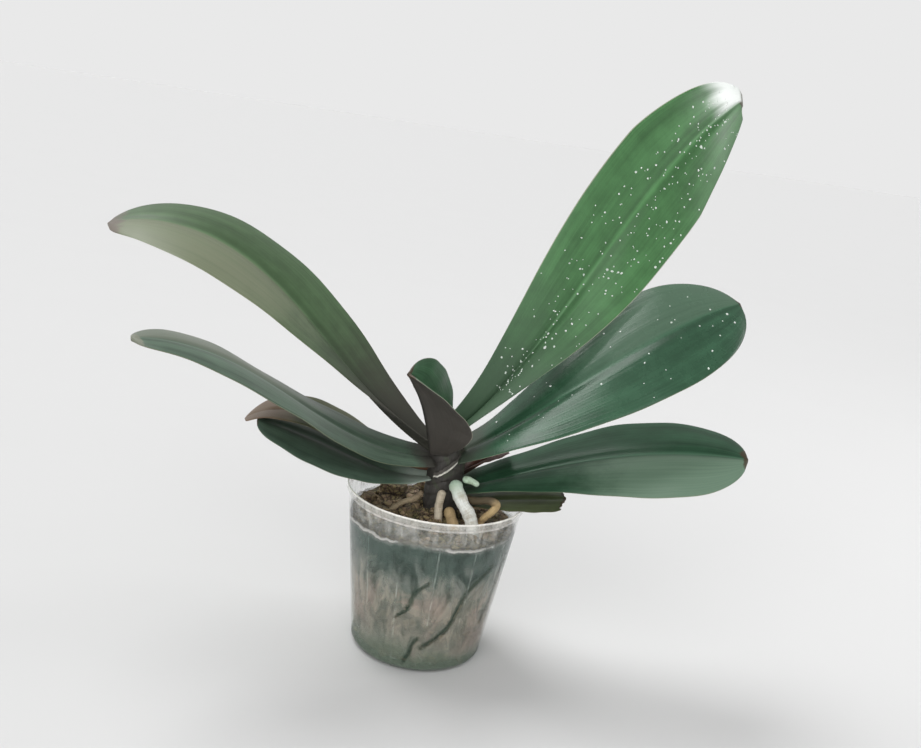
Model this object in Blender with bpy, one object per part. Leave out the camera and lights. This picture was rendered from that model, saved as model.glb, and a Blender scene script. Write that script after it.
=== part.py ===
"""Potted orchid without flowers: clear growing pot, bark, short stem, roots and strap leaves.

Metres, +Z up. The origin is the centre of the underside of the pot, where it rests on a table.
+X is the side the big leaves lean to, -Y is the front.
"""
import math

import bmesh
import bpy
import numpy as np
from mathutils import Matrix, Vector, noise

for old in list(bpy.data.objects):
    bpy.data.objects.remove(old, do_unlink=True)

MM = 0.001

# Pot: a standard 12 cm clear growing pot
POT_TOP_R = 60 * MM
POT_BASE_R = 44.5 * MM
POT_H = 113 * MM
POT_WALL = 0.9 * MM
RIM_H = 4 * MM
RIM_OUT = 1.3 * MM
POT_CORNER = 5 * MM
HOLE_R = 3.5 * MM
HOLE_RING_R = 31 * MM
HOLE_COUNT = 8
POT_SIDES = 56

# Planting medium
FREEBOARD = 18 * MM
BED_TOP = POT_H - FREEBOARD
BED_MOUND = 8 * MM
BED_LUMP = 2.2 * MM
GAP = 0.3 * MM
BED_RINGS = 10
BED_SIDES = 48

# Stem: short and upright, flattened a little across the two leaf ranks
STEM_X = 4 * MM
STEM_FOOT_Z = BED_TOP - 11 * MM
STEM_TOP_Z = BED_TOP + 57 * MM
STEM_R = 13 * MM
STEM_TIP_R = 6.5 * MM
STEM_FLATTEN = 0.8
STEM_NODE_PITCH = 7.5 * MM
SHEATH_START = -122
SHEATH_END = -72
SHEATH_Z = BED_TOP + 31 * MM
SHEATH_RISE = 7 * MM
SHEATH_TALL = 6 * MM

# Leaves
LEAF_THICK = 2.2 * MM
USUAL_THICK = 2.2 * MM
MARGIN_THICK = 1.0 * MM
GROOVE_DEPTH = 1.3 * MM
LEAF_TIP_WIDTH = 0.06
LEAF_CUP = math.radians(12)
LEAF_STATIONS = 24
LEAF_HALF_CELLS = 5

POT_R_BELOW_RIM = POT_TOP_R - RIM_OUT
WALL_SLOPE = (POT_R_BELOW_RIM - POT_BASE_R) / (POT_H - RIM_H)
BED_R = POT_BASE_R + WALL_SLOPE * BED_TOP - POT_WALL - GAP


def material(name, colour, roughness, alpha=1.0):
    mat = bpy.data.materials.new(name)
    mat.use_nodes = True
    shader = mat.node_tree.nodes["Principled BSDF"]
    shader.inputs["Base Color"].default_value = (*colour, 1.0)
    shader.inputs["Roughness"].default_value = roughness
    shader.inputs["Alpha"].default_value = alpha
    mat.diffuse_color = (*colour, alpha)
    return mat


def finish(bm, name, mat):
    """Closes the mesh into a named object with its own material."""
    bmesh.ops.recalc_face_normals(bm, faces=bm.faces[:])
    mesh = bpy.data.meshes.new(name)
    bm.to_mesh(mesh)
    bm.free()
    ob = bpy.data.objects.new(name, mesh)
    bpy.context.collection.objects.link(ob)
    if mat is not None:
        mesh.materials.append(mat)
    return ob


def cut(ob, cutters):
    """Takes the cutters out of ob, one after another, and removes them."""
    for cutter in cutters:
        mod = ob.modifiers.new("cut", "BOOLEAN")
        mod.operation = "DIFFERENCE"
        mod.solver = "EXACT"
        mod.object = cutter
        graph = bpy.context.evaluated_depsgraph_get()
        mesh = bpy.data.meshes.new_from_object(ob.evaluated_get(graph))
        ob.modifiers.remove(mod)
        ob.data = mesh
        ob.data.name = ob.name
        bpy.data.objects.remove(cutter, do_unlink=True)


def revolve(profile, sides):
    """Turns a closed (radius, height) outline round the Z axis."""
    bm = bmesh.new()
    verts = [bm.verts.new((r, 0.0, z)) for r, z in profile]
    edges = [bm.edges.new((verts[i], verts[i + 1])) for i in range(len(verts) - 1)]
    bmesh.ops.spin(
        bm, geom=verts + edges, cent=(0, 0, 0), axis=(0, 0, 1),
        angle=math.tau, steps=sides, use_merge=True,
    )
    bmesh.ops.remove_doubles(bm, verts=bm.verts[:], dist=1e-6)
    return bm


def arc(centre, radius, start, end, count):
    angles = [math.radians(start + (end - start) * i / count) for i in range(count + 1)]
    return [(centre[0] + radius * math.cos(a), centre[1] + radius * math.sin(a)) for a in angles]


def wall_radius(z):
    """Outer radius of the plain wall at height z."""
    return POT_BASE_R + WALL_SLOPE * z


def build_pot():
    inner_corner = POT_CORNER - POT_WALL
    corner_x = wall_radius(POT_CORNER) - POT_CORNER
    rim_low = POT_H - RIM_H
    edge = 0.3 * MM
    outline = [(0.0, 0.0)]
    outline += arc((corner_x, POT_CORNER), POT_CORNER, -90, 0, 6)
    outline += [(POT_R_BELOW_RIM, rim_low - RIM_OUT)]
    outline += [(POT_TOP_R - edge, rim_low), (POT_TOP_R, rim_low + edge)]
    outline += [(POT_TOP_R, POT_H - edge), (POT_TOP_R - edge, POT_H)]
    outline += [(POT_TOP_R - POT_WALL, POT_H), (POT_TOP_R - POT_WALL - edge, POT_H - edge)]
    outline += [(POT_R_BELOW_RIM - POT_WALL, rim_low - RIM_OUT)]
    outline += arc((corner_x, POT_CORNER), inner_corner, 0, -90, 6)
    outline += [(0.0, POT_WALL)]
    pot = finish(revolve(outline, POT_SIDES), "pot", None)
    drills = []
    for i in range(HOLE_COUNT):
        bm = bmesh.new()
        a = math.tau * (i + 0.5) / HOLE_COUNT
        at = Matrix.Translation((HOLE_RING_R * math.cos(a), HOLE_RING_R * math.sin(a), 0.0))
        bmesh.ops.create_cone(
            bm, cap_ends=True, segments=20, radius1=HOLE_R, radius2=HOLE_R, depth=6 * MM, matrix=at,
        )
        drills.append(finish(bm, f"drill{i}", None))
    cut(pot, drills)
    pot.data.materials.clear()
    pot.data.materials.append(material("pot_plastic", (0.62, 0.68, 0.66), 0.25, 0.35))
    return pot


def bed_height(x, y):
    """Height of the bark's surface: a low mound round the stem, broken by lumps."""
    mound = BED_MOUND * math.exp(-((x - STEM_X) ** 2 + y * y) / (26 * MM) ** 2)
    lump = noise.noise(Vector((x, y, 0.0)) / (9 * MM))
    lump += 0.5 * noise.noise(Vector((x, y, 5 * MM)) / (4.5 * MM))
    return BED_TOP + mound + BED_LUMP * lump


def circle_points(sides):
    return [(math.cos(math.tau * i / sides), math.sin(math.tau * i / sides)) for i in range(sides)]


def build_bed(cutters):
    """Bark filling the pot, with the sockets of everything that is set in it."""
    foot = POT_WALL + GAP
    low_r = wall_radius(POT_CORNER) - POT_WALL - GAP
    circle = circle_points(BED_SIDES)
    bm = bmesh.new()
    loops = []
    for k in range(1, BED_RINGS + 1):
        r = BED_R * k / BED_RINGS
        loops.append([bm.verts.new((r * c, r * s, bed_height(r * c, r * s))) for c, s in circle])
    for r, z in ((low_r, POT_CORNER), (low_r - 1.5 * MM, POT_CORNER / 2), (POT_BASE_R - POT_CORNER, foot)):
        loops.append([bm.verts.new((r * c, r * s, z)) for c, s in circle])
    centre = bm.verts.new((0, 0, bed_height(0, 0)))
    for i in range(BED_SIDES):
        bm.faces.new((centre, loops[0][i], loops[0][(i + 1) % BED_SIDES]))
    for upper, lower in zip(loops, loops[1:]):
        for i in range(BED_SIDES):
            j = (i + 1) % BED_SIDES
            bm.faces.new((upper[i], lower[i], lower[j], upper[j]))
    bm.faces.new(loops[-1])
    bed = finish(bm, "bark_bed", None)
    cut(bed, cutters)
    bed.data.materials.clear()
    bed.data.materials.append(material("bark_bed", (0.20, 0.13, 0.08), 0.9))
    return bed


def set_out(point):
    """Place of a point of the plant: x and y for the usual stem and pot, z above the bark.

    Its distance from the stem's axis follows the stem near it, and the pot's wall near the wall.
    """
    x, y, z = np.array(point) * MM
    usual_stem, usual_bed = 13 * MM, 55.7 * MM
    away = math.hypot(x - STEM_X, y)
    part = (away - usual_stem) / (usual_bed - usual_stem)
    inside = min(1.0, max(0.0, part))
    wanted = away + (STEM_R - usual_stem) * (1 - inside) + (BED_R - usual_bed) * inside
    scale = wanted / away if part > 0 else 1.0
    return np.array([STEM_X + (x - STEM_X) * scale, y * scale, z + BED_TOP])


def smooth_path(points, count):
    """Catmull-Rom curve through the points, evenly sampled."""
    p = np.array([2 * np.array(points[0]) - points[1], *points, 2 * np.array(points[-1]) - points[-2]])
    dense = []
    for a, b, c, d in zip(p, p[1:], p[2:], p[3:]):
        for t in np.linspace(0, 1, 24, endpoint=False):
            dense.append(0.5 * (2 * b + (c - a) * t + (2 * a - 5 * b + 4 * c - d) * t**2
                                + (3 * b - a - 3 * c + d) * t**3))
    dense = np.array([*dense, p[-2]])
    run = np.concatenate([[0], np.cumsum(np.linalg.norm(np.diff(dense, axis=0), axis=1))])
    at = np.linspace(0, run[-1], count)
    return np.stack([np.interp(at, run, dense[:, i]) for i in range(3)], axis=1)


def tube(name, points, radius, tip, mat, extra=0.0, stations=14, sides=10, wobble=0.06):
    """Round root along a smooth path. It narrows to tip times its radius, and both ends are rounded."""
    path = smooth_path(np.array(points), stations)
    tangent = np.gradient(path, axis=0)
    tangent /= np.linalg.norm(tangent, axis=1)[:, None]
    if extra:
        path[0] -= tangent[0] * extra
        path[-1] += tangent[-1] * extra
    side = Vector(tangent[0]).orthogonal().normalized()
    bm = bmesh.new()
    loops = []
    for i in range(stations):
        t = Vector(tangent[i])
        side = (side - side.dot(t) * t).normalized()
        up = t.cross(side)
        s = i / (stations - 1)
        r = radius * (1 + (tip - 1) * s) * (1 + wobble * noise.noise(Vector(path[i]) / (6 * MM)))
        near_end = min(s, 1 - s) * (stations - 1)
        r *= (0.55, 0.9, 1.0)[min(2, int(near_end))]
        r += extra
        loops.append([
            bm.verts.new(Vector(path[i]) + (side * c + up * q) * r) for c, q in circle_points(sides)
        ])
    for a, b in zip(loops, loops[1:]):
        for i in range(sides):
            bm.faces.new((a[i], a[(i + 1) % sides], b[(i + 1) % sides], b[i]))
    bm.faces.new(loops[0])
    bm.faces.new(loops[-1])
    return finish(bm, name, mat)


def stem_radius(z):
    """Half the stem's width at height z, across the leaf ranks."""
    s = (z - STEM_FOOT_Z) / (STEM_TOP_Z - STEM_FOOT_Z)
    swell = STEM_R * (0.82 + 0.18 * min(1.0, max(s, 0.0) / 0.35))
    taper = (STEM_TIP_R - STEM_R) * max(0.0, (s - 0.78) / 0.22) ** 1.4
    return swell + taper + 0.35 * MM * math.cos(math.tau * z / STEM_NODE_PITCH)


def build_stem(extra=0.0):
    """Column with a slight swelling at each old leaf node; extra grows it for cutting its socket."""
    rings, sides = 18, 20
    bm = bmesh.new()
    loops = []
    for k in range(rings + 1):
        s = k / rings
        z = STEM_FOOT_Z + (STEM_TOP_Z - STEM_FOOT_Z) * s
        r = stem_radius(z)
        z += extra * (2 * s - 1)
        loops.append([
            bm.verts.new((STEM_X + (r + extra) * c, (STEM_FLATTEN * r + extra) * q, z))
            for c, q in circle_points(sides)
        ])
    for a, b in zip(loops, loops[1:]):
        for i in range(sides):
            bm.faces.new((a[i], a[(i + 1) % sides], b[(i + 1) % sides], b[i]))
    bm.faces.new(loops[0])
    bm.faces.new(loops[-1])
    if extra:
        return finish(bm, "stem_socket", None)
    return finish(bm, "stem", material("stem", (0.10, 0.09, 0.05), 0.6))


def build_sheath():
    """Papery edge of an old leaf base, wrapped round the front of the stem and rising to the right."""
    bm = bmesh.new()
    columns = 14
    grid = []
    for i in range(columns):
        s = i / (columns - 1)
        a = math.radians(SHEATH_START + (SHEATH_END - SHEATH_START) * s)
        low = SHEATH_Z + SHEATH_RISE * s
        tall = SHEATH_TALL * (0.55 + 0.45 * math.sin(math.pi * s))
        ring = []
        for z, out in ((low, 1.6 * MM), (low + tall / 2, 1.9 * MM), (low + tall, 2.0 * MM)):
            for skin in (0.0, 0.7 * MM):
                r = stem_radius(z) + out - skin
                flat = STEM_FLATTEN * stem_radius(z) + out - skin
                ring.append(bm.verts.new((STEM_X + r * math.cos(a), flat * math.sin(a), z)))
        grid.append([ring[i] for i in (0, 2, 4, 5, 3, 1)])
    for a, b in zip(grid, grid[1:]):
        for i in range(6):
            bm.faces.new((a[i], a[(i + 1) % 6], b[(i + 1) % 6], b[i]))
    bm.faces.new(grid[0])
    bm.faces.new(grid[-1])
    return finish(bm, "sheath", material("sheath", (0.55, 0.50, 0.40), 0.7))


class Leaf:
    """A strap leaf: how its midrib runs, how wide it is, and how it folds and rolls.

    turn is the compass angle of the midrib (degrees from +X, anticlockwise) at base and tip.
    rise is its slope at base, middle and tip. roll tilts the blade round the midrib, at base and tip.
    fold is how far each half lifts from flat, at base and tip. Widths are part of the full width.
    over is how many leaves of its rank lie under it, so thicker leaves stack higher.
    """

    def __init__(self, name, base, turn, rise, length, width, roll, fold,
                 widest=0.65, base_width=0.35, blunt=2.0, thick=1.0, over=0, colour=(0.04, 0.13, 0.05)):
        self.name = name
        self.base = set_out(base)
        self.base[2] += over * (LEAF_THICK - USUAL_THICK)
        self.turn = turn
        self.rise = rise
        self.length = length * MM
        self.width = width * MM
        self.roll = roll
        self.fold = fold
        self.widest = widest
        self.base_width = base_width
        self.blunt = blunt
        self.thick = thick
        self.colour = colour

    def half_width(self, s):
        grow = np.sin(np.pi / 2 * np.clip(s / self.widest, 0, 1)) ** 1.3
        rise = self.base_width + (1 - self.base_width) * grow
        past = np.clip((s - self.widest) / (1 - self.widest), 0, 1)
        fall = np.sqrt(np.clip(1 - past**self.blunt, 0, 1))
        shape = np.where(s < self.widest, rise, fall)
        return 0.5 * self.width * np.maximum(shape, LEAF_TIP_WIDTH)

    def surfaces(self, stations, half_cells):
        """Upper and lower faces, each as stations x (2 * half_cells + 1) points."""
        s = np.linspace(0, 1, stations)
        turn = np.radians(self.turn[0] + (self.turn[1] - self.turn[0]) * s)
        low, mid, high = self.rise
        rise = np.radians(low * (2 * s - 1) * (s - 1) + mid * 4 * s * (1 - s) + high * s * (2 * s - 1))
        along = np.stack([np.cos(rise) * np.cos(turn), np.cos(rise) * np.sin(turn), np.sin(rise)], axis=1)
        step = self.length / (stations - 1)
        rib = self.base + np.vstack([np.zeros(3), np.cumsum((along[1:] + along[:-1]) / 2 * step, axis=0)])
        flat = np.stack([np.sin(turn), -np.cos(turn), 0 * turn], axis=1)
        over = np.cross(flat, along)
        ease = np.clip(s / 0.6, 0, 1)
        ease = ease * ease * (3 - 2 * ease)
        roll = np.radians(self.roll[0] + (self.roll[1] - self.roll[0]) * ease)[:, None]
        across = np.cos(roll) * flat - np.sin(roll) * over
        normal = np.sin(roll) * flat + np.cos(roll) * over
        fold = np.radians(self.fold[1] + (self.fold[0] - self.fold[1]) * (1 - s) ** 3)
        half = self.half_width(s)
        upper = np.zeros((stations, 2 * half_cells + 1, 3))
        lower = np.zeros_like(upper)
        fraction = (np.arange(half_cells + 1) / half_cells) ** 0.85
        for sign in (-1, 1):
            x = np.zeros(stations)
            y = np.zeros(stations)
            for k, r in enumerate(fraction):
                lift = fold - LEAF_CUP * r
                if k:
                    lift = fold - LEAF_CUP * (r + fraction[k - 1]) / 2
                    x = x + half * np.cos(lift) * (r - fraction[k - 1])
                    y = y + half * np.sin(lift) * (r - fraction[k - 1])
                dip = GROOVE_DEPTH * self.thick * math.exp(-(r / 0.16) ** 2) * np.minimum(1, 6 * (1 - s))
                thick = self.thick * (LEAF_THICK + (MARGIN_THICK - LEAF_THICK) * r**1.5) / 2
                point = rib + sign * across * x[:, None] + normal * (y - dip)[:, None]
                out = np.cos(lift)[:, None] * normal - sign * np.sin(lift)[:, None] * across
                if k == 0:
                    out = normal
                upper[:, half_cells + sign * k] = point + out * thick
                lower[:, half_cells + sign * k] = point - out * thick
        return upper, lower

    def build(self):
        upper, lower = self.surfaces(LEAF_STATIONS, LEAF_HALF_CELLS)
        bm = bmesh.new()
        grids = [[[bm.verts.new(p) for p in row] for row in face] for face in (upper, lower)]
        rows, cols = len(grids[0]), len(grids[0][0])
        for grid in grids:
            for i in range(rows - 1):
                for j in range(cols - 1):
                    bm.faces.new((grid[i][j], grid[i][j + 1], grid[i + 1][j + 1], grid[i + 1][j]))
        top, under = grids
        for i in range(rows - 1):
            for j in (0, cols - 1):
                bm.faces.new((top[i][j], top[i + 1][j], under[i + 1][j], under[i][j]))
        for j in range(cols - 1):
            for i in (0, rows - 1):
                bm.faces.new((top[i][j], top[i][j + 1], under[i][j + 1], under[i][j]))
        return finish(bm, self.name, material(self.name, self.colour, 0.4))


def chip(name, x, y, size, turn, tilt, seed, colour):
    """An angular piece of bark resting just clear of the bed."""
    rng = np.random.default_rng(seed)
    corners = rng.uniform(-1, 1, (26, 3)) * np.array(size) * MM / 2
    spin = Matrix.Rotation(math.radians(turn), 4, "Z") @ Matrix.Rotation(math.radians(tilt), 4, "Y")
    points = [spin @ Vector(c) for c in corners]
    x, y, _ = set_out((x, y, 0))
    clear = -1.0
    for p in points:
        for reach in (0.0, 0.5, 1.0):
            under = bed_height(x + p.x * reach, y + p.y * reach)
            clear = max(clear, under - p.z * reach - min(0, p.z) * (1 - reach))
    bm = bmesh.new()
    for p in points:
        bm.verts.new((x + p.x, y + p.y, clear + 2 * GAP + p.z))
    bmesh.ops.convex_hull(bm, input=bm.verts[:])
    loose = [v for v in bm.verts if not v.link_faces]
    bmesh.ops.delete(bm, geom=loose, context="VERTS")
    return finish(bm, name, material(name, colour, 0.85))


# Leaves of the right rank, top to bottom, then the left rank, then the young centre leaf
DEEP = (0.03, 0.10, 0.05)
LEAVES = (
    Leaf("leaf_right_top", (7, 2, 59), (12, 54), (47.5, 56.3, 19), 329, 80, (34, 71), (49, 7),
         widest=0.685, base_width=0.26, blunt=1.2, over=3, colour=(0.05, 0.20, 0.06)),
    Leaf("leaf_right_middle", (14, 2, 46), (-17, 40), (36, 39, 6), 222, 81, (20, 34), (11, -1),
         widest=0.63, base_width=0.45, blunt=2.2, over=2, colour=DEEP),
    Leaf("leaf_right_low", (16, 0, 21), (0, -11), (23, 19, -1), 190, 84, (10, 18), (19, 0),
         widest=0.71, base_width=0.35, blunt=2.4, over=1, colour=DEEP),
    Leaf("leaf_left_top", (-6.5, -2, 45), (164, 188), (21, 40, -24), 272, 92, (-3, -14), (58, 4),
         widest=0.71, base_width=0.20, blunt=1.8, over=3, colour=(0.10, 0.17, 0.08)),
    Leaf("leaf_left_middle", (-6.5, -2, 40.8), (201, 222), (0, 32, -2), 218, 69, (-18, -7), (8, 2),
         widest=0.68, base_width=0.34, blunt=1.2, over=2, colour=(0.09, 0.15, 0.09)),
    Leaf("leaf_left_back", (-6.5, -1, 32.5), (184, 181), (-3, 22, -42), 132, 48, (0, -5), (33, 11),
         widest=0.60, base_width=0.29, over=1, colour=(0.12, 0.13, 0.07)),
    Leaf("leaf_left_low", (-6.8, -1, 25.5), (192, 185), (-3, 20.5, 3), 120, 71, (-16, -3), (33, -1),
         widest=0.60, base_width=0.33, blunt=1.9, colour=DEEP),
    Leaf("leaf_centre", (-6, -9, 45), (253, 227), (55, 60, 35), 74, 70, (-56, -42), (66, 43),
         widest=0.5, base_width=0.3, blunt=1.3, colour=(0.10, 0.08, 0.06)),
    Leaf("leaf_right_torn", (17, -4, 13), (-3, -7), (12, 12, 8), 73, 34, (4, 8), (16, 4),
         widest=0.5, base_width=0.55, blunt=6.0, thick=0.8, colour=(0.12, 0.14, 0.05)),
    Leaf("old_leaf_stub", (16, 7, 29), (20, 26), (34, 30, 12), 40, 24, (0, 10), (44, 30),
         widest=0.5, base_width=0.6, blunt=4.0, thick=0.7, colour=(0.14, 0.06, 0.04)),
)

# Roots: points run from the stem outwards
ROOTS = (
    ("root_left", ((-9, -9, 18), (-14, -9, 12), (-23, -8, 6.5), (-34, -10, -5)), 2.3, 0.8,
     (0.35, 0.25, 0.15)),
    ("root_front", ((4, -14.5, 23), (3, -16, 12), (4, -20, 3), (5, -25, -9)), 3.0, 0.9, (0.45, 0.38, 0.28)),
    ("root_stub", ((9, -16, 12), (12, -21, 7), (15, -28, 2), (16, -31, -8)), 3.8, 1.0, (0.45, 0.33, 0.14)),
    ("root_silver", ((10, -15, 31), (17, -21, 20), (25, -25, 9), (29, -29, -8)), 4.6, 0.95,
     (0.80, 0.82, 0.78)),
    ("root_right", ((16, -10.5, 17.5), (20, -13.8, 18.6), (27, -19, 20.5), (34, -23.5, 23.5), (40, -25, 22.5),
                    (37.5, -24.5, 16.5), (32, -20.5, 7.5), (29.5, -18, -7)), 2.8, 0.9, (0.55, 0.42, 0.26)),
    ("root_thin", ((20, 7, 18), (25, 10, 15), (29, 9, 8), (27, 6, -5)), 1.9, 0.8, (0.30, 0.24, 0.18)),
    ("root_tip", ((16, -13.5, 32), (20, -15, 32.5), (24, -15.5, 31.5), (27, -15.5, 30)), 2.6, 0.8,
     (0.50, 0.66, 0.50)),
)
# Roots pressed against the pot's wall: start angle and height, end angle and height, thickness.
# Heights are parts of the height of the bark.
WALL_ROOTS = (
    ("wall_root_front", -38, 0.82, -84, 0.21, 2.3),
    ("wall_root_left", -86, 0.72, -107, 0.42, 1.8),
    ("wall_root_low", -88, 0.28, -97, 0.09, 1.8),
    ("wall_root_right", -20, 0.86, -33, 0.36, 2.2),
    ("wall_root_back", 60, 0.84, 112, 0.27, 2.3),
    ("wall_root_side", 178, 0.80, 152, 0.23, 2.1),
)


def wall_path(start, top, end, low, thick):
    points = []
    for i in range(5):
        s = i / 4
        z = (top + (low - top) * s) * BED_TOP
        a = math.radians(start + (end - start) * (s + 0.12 * math.sin(math.tau * s)))
        r = wall_radius(z) - POT_WALL - GAP - thick
        points.append((r * math.cos(a), r * math.sin(a), z))
    return points


def build_all():
    build_pot()
    cutters = [build_stem(GAP)]
    build_stem()
    for name, points, radius, tip, colour in ROOTS:
        points = [set_out(p) for p in points]
        tube(name, points, radius * MM, tip, material(name, colour, 0.6))
        if name != "root_tip":
            cutters.append(tube(name + "_socket", points, radius * MM, tip, None, extra=GAP))
    for name, start, top, end, low, thick in WALL_ROOTS:
        thick *= MM
        points = wall_path(start, top, end, low, thick)
        tube(name, points, thick, 0.9, material(name, (0.10, 0.22, 0.14), 0.5), wobble=0.0)
        cutters.append(tube(name + "_socket", points, thick, 0.9, None, extra=GAP, wobble=0.0))
    build_bed(cutters)
    for leaf in LEAVES:
        cut(leaf.build(), [build_stem(GAP)])
    build_sheath()
    for i, (x, y, size, turn, tilt) in enumerate(CHIPS):
        shade = 0.8 + 0.06 * i
        chip(f"bark_chip_{i + 1}", x, y, size, turn, tilt, 20 + i, (0.26 * shade, 0.16 * shade, 0.09 * shade))


# Bark chips lying on the bed: position, size, compass turn and tilt
CHIPS = (
    (-36, -22, (19, 12, 6), 20, 8),
    (-31, 24, (22, 13, 7), 130, -6),
    (-9, -40, (17, 11, 5), 80, 10),
    (17, 40, (20, 14, 7), 35, 5),
    (47, -9, (11, 9, 5), 100, -8),
    (36, -32, (14, 10, 5), 60, 12),
    (-8, 38, (16, 11, 6), 160, -10),
    (-45, 2, (13, 10, 5), 95, 6),
)

build_all()
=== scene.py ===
"""Potted orchid without flowers, dressed over its CAD frame: leaves, stem, roots, bark and clear pot."""
import math

import bmesh
import bpy
import numpy as np
from bpy.props import FloatProperty, FloatVectorProperty, IntProperty, PointerProperty
from mathutils import Matrix, Vector, noise


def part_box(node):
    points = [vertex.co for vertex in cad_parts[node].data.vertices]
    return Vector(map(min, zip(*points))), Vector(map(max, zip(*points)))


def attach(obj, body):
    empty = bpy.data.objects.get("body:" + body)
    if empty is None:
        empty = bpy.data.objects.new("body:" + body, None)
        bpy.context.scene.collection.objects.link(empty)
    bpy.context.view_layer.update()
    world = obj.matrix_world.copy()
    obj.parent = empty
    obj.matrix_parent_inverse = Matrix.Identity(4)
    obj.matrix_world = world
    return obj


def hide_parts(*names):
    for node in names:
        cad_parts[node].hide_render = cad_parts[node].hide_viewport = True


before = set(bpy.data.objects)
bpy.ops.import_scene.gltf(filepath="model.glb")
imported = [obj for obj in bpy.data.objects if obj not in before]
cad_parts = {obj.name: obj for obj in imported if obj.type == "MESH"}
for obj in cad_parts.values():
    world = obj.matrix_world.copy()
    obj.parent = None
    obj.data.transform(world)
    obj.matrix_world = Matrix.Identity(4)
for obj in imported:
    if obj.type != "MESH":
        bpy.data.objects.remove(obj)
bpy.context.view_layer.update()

bl_info = {
    "name": "Potted orchid",
    "version": (1, 0, 0),
    "blender": (4, 5, 0),
    "location": "View3D > Sidebar > Orchid",
    "description": "Builds the finished pieces of a potted strap-leaved orchid",
    "category": "Object",
}

MM = 0.001
RIBS = 14.0
RIB_TURN = 1.2


# ---------------------------------------------------------------- sizes and colours

def colour(name, description, default):
    return FloatVectorProperty(name=name, description=description, default=default,
                               size=3, min=0.0, max=1.0, subtype="COLOR")


def length(name, description, default):
    return FloatProperty(name=name, description=description, default=default, min=0.0,
                         subtype="DISTANCE", unit="LENGTH")


class OrchidLeafSettings(bpy.types.PropertyGroup):
    thickness: length("Leaf thickness", "Thickness of a blade at its midrib", 2.1 * MM)
    margin: length("Margin thickness", "Thickness of a blade at its edge", 0.9 * MM)
    groove: length("Groove depth", "Depth of the channel along the midrib", 1.3 * MM)
    fresh: colour("Fresh green", "Upper face of the youngest full leaf", (0.061, 0.176, 0.060))
    deep: colour("Deep green", "Upper face of the older leaves", (0.029, 0.088, 0.046))
    under: colour("Underside", "Under face of the leaves", (0.105, 0.150, 0.085))
    sheath: colour("Leaf base", "Dark foot of the leaves and the stem", (0.052, 0.047, 0.041))
    drops: IntProperty(name="Water drops", description="Drops standing on the wet leaf", default=289, min=0)


class OrchidPotSettings(bpy.types.PropertyGroup):
    top_radius: length("Rim radius", "Outer radius of the rim", 60 * MM)
    base_radius: length("Base radius", "Outer radius at the foot, carried down to the table", 44.5 * MM)
    height: length("Height", "Height of the pot", 113 * MM)
    wall: length("Wall", "Thickness of the plastic", 0.9 * MM)
    rim_height: length("Rim height", "Height of the band at the top", 4 * MM)
    rim_out: length("Rim step", "How far the band stands out from the wall", 1.3 * MM)
    corner: length("Foot corner", "Radius of the rounded foot", 5 * MM)
    plastic: colour("Plastic", "Tint of the clear plastic", (0.60, 0.64, 0.60))
    mist: colour("Mist", "Colour of the moisture inside the wall", (0.082, 0.128, 0.106))


class OrchidBarkSettings(bpy.types.PropertyGroup):
    top: length("Bark level", "Height of the bark at the wall", 95 * MM)
    mound: length("Mound", "Extra height of the bark round the stem", 8 * MM)
    wall_chips: IntProperty(name="Wall chips", description="Chips seen through the wall", default=300, min=0)
    top_chips: IntProperty(name="Top chips", description="Chips lying on the surface", default=150, min=0)
    dark: colour("Dark bark", "Damp bark", (0.070, 0.045, 0.028))
    pale: colour("Pale bark", "Dry bark", (0.400, 0.280, 0.180))


class OrchidRootSettings(bpy.types.PropertyGroup):
    silver: colour("Silver root", "Dry corky skin", (0.74, 0.76, 0.72))
    tan: colour("Tan root", "Old corky skin", (0.52, 0.41, 0.26))
    amber: colour("Amber root", "Old skin where the light has yellowed it", (0.52, 0.38, 0.19))
    wet: colour("Wet root", "Root pressed against the wet wall", (0.0036, 0.0150, 0.0084))


class OrchidStageSettings(bpy.types.PropertyGroup):
    floor: colour("Floor", "Plain pale floor", (0.668, 0.668, 0.668))
    key: FloatProperty(name="Key light", description="Strength of the broad daylight", default=2.05)
    fill: FloatProperty(name="Fill light", description="Power of the fill light", default=2.2, unit="POWER")


# ---------------------------------------------------------------- materials

class Wire:
    """A node's output that takes part in arithmetic. Each operation adds one Math node."""

    def __init__(self, tree, socket):
        self.tree = tree
        self.socket = socket

    def maths(self, operation, *others):
        node = self.tree.nodes.new("ShaderNodeMath")
        node.operation = operation
        for value, socket in zip((self, *others), node.inputs):
            plug(self.tree, value, socket)
        return Wire(self.tree, node.outputs[0])

    def __add__(self, other):
        return self.maths("ADD", other)

    def __radd__(self, other):
        return self.maths("ADD", other)

    def __sub__(self, other):
        return self.maths("SUBTRACT", other)

    def __rsub__(self, other):
        node = self.tree.nodes.new("ShaderNodeMath")
        node.operation = "SUBTRACT"
        node.inputs[0].default_value = other
        self.tree.links.new(self.socket, node.inputs[1])
        return Wire(self.tree, node.outputs[0])

    def __mul__(self, other):
        return self.maths("MULTIPLY", other)

    def __rmul__(self, other):
        return self.maths("MULTIPLY", other)

    def __abs__(self):
        return self.maths("ABSOLUTE")

    def step(self, low, high):
        """0 below low, 1 above high, smooth between; low may be the larger."""
        node = self.tree.nodes.new("ShaderNodeMapRange")
        node.interpolation_type = "SMOOTHSTEP"
        self.tree.links.new(self.socket, node.inputs["Value"])
        ends = (low, high, 0.0, 1.0) if low < high else (high, low, 1.0, 0.0)
        for name, value in zip(("From Min", "From Max", "To Min", "To Max"), ends):
            node.inputs[name].default_value = value
        return Wire(self.tree, node.outputs["Result"])


def plug(tree, value, socket):
    """Links a wire to a socket, or sets the socket's own value."""
    if isinstance(value, Wire):
        tree.links.new(value.socket, socket)
    elif hasattr(socket.default_value, "__len__") and len(socket.default_value) == 4 and len(value) == 3:
        socket.default_value = (*value, 1.0)
    else:
        socket.default_value = value


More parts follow.
